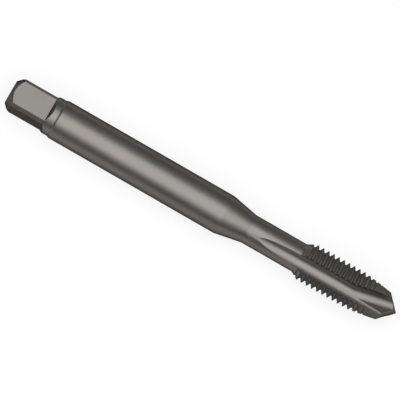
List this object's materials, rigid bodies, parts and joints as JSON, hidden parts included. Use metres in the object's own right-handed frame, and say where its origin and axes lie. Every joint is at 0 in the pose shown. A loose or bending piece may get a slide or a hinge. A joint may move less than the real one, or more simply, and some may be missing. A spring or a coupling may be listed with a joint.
{
  "type": "thread tap",
  "caption": "Spiral-point machine tap with a square drive, plain shank, relieved neck and fluted, tapered cutting thread.",
  "frame": {"origin": "centre of the flat face at the driving end, on the tool's axis", "axes": "+X along the axis from the driving end to the point, +Z square on one flat of the driving square"},
  "size_m": [0.0676, 0.0064, 0.0064],
  "materials": {
    "tool_steel": "ground and darkened tool steel, dark grey satin"
  },
  "bodies": {
    "root": {"tap": "tool_steel"}
  },
  "joints": []
}
